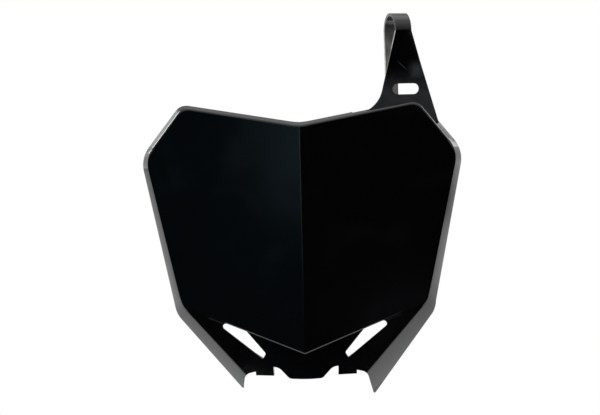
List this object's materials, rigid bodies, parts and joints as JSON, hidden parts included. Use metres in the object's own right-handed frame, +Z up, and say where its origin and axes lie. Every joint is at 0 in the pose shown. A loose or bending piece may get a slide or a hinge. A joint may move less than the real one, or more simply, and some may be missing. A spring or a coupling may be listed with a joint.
{
  "type": "motorbike front number plate",
  "caption": "Swept front number plate for an off-road motorbike, moulded as one shell with a splayed rim, lower fins and a strap that loops over the handlebar.",
  "frame": {"origin": "foot of the centre ridge, on the front of the plate and in the plane that the two panels mirror across, where the tongue begins", "axes": "+X to the viewer's right, +Y back towards the fork, +Z up along the ridge"},
  "size_m": [0.2436, 0.0391, 0.2917],
  "materials": {
    "plate": "glossy black moulded polypropylene"
  },
  "bodies": {
    "root": {"number_plate": "plate"}
  },
  "joints": []
}
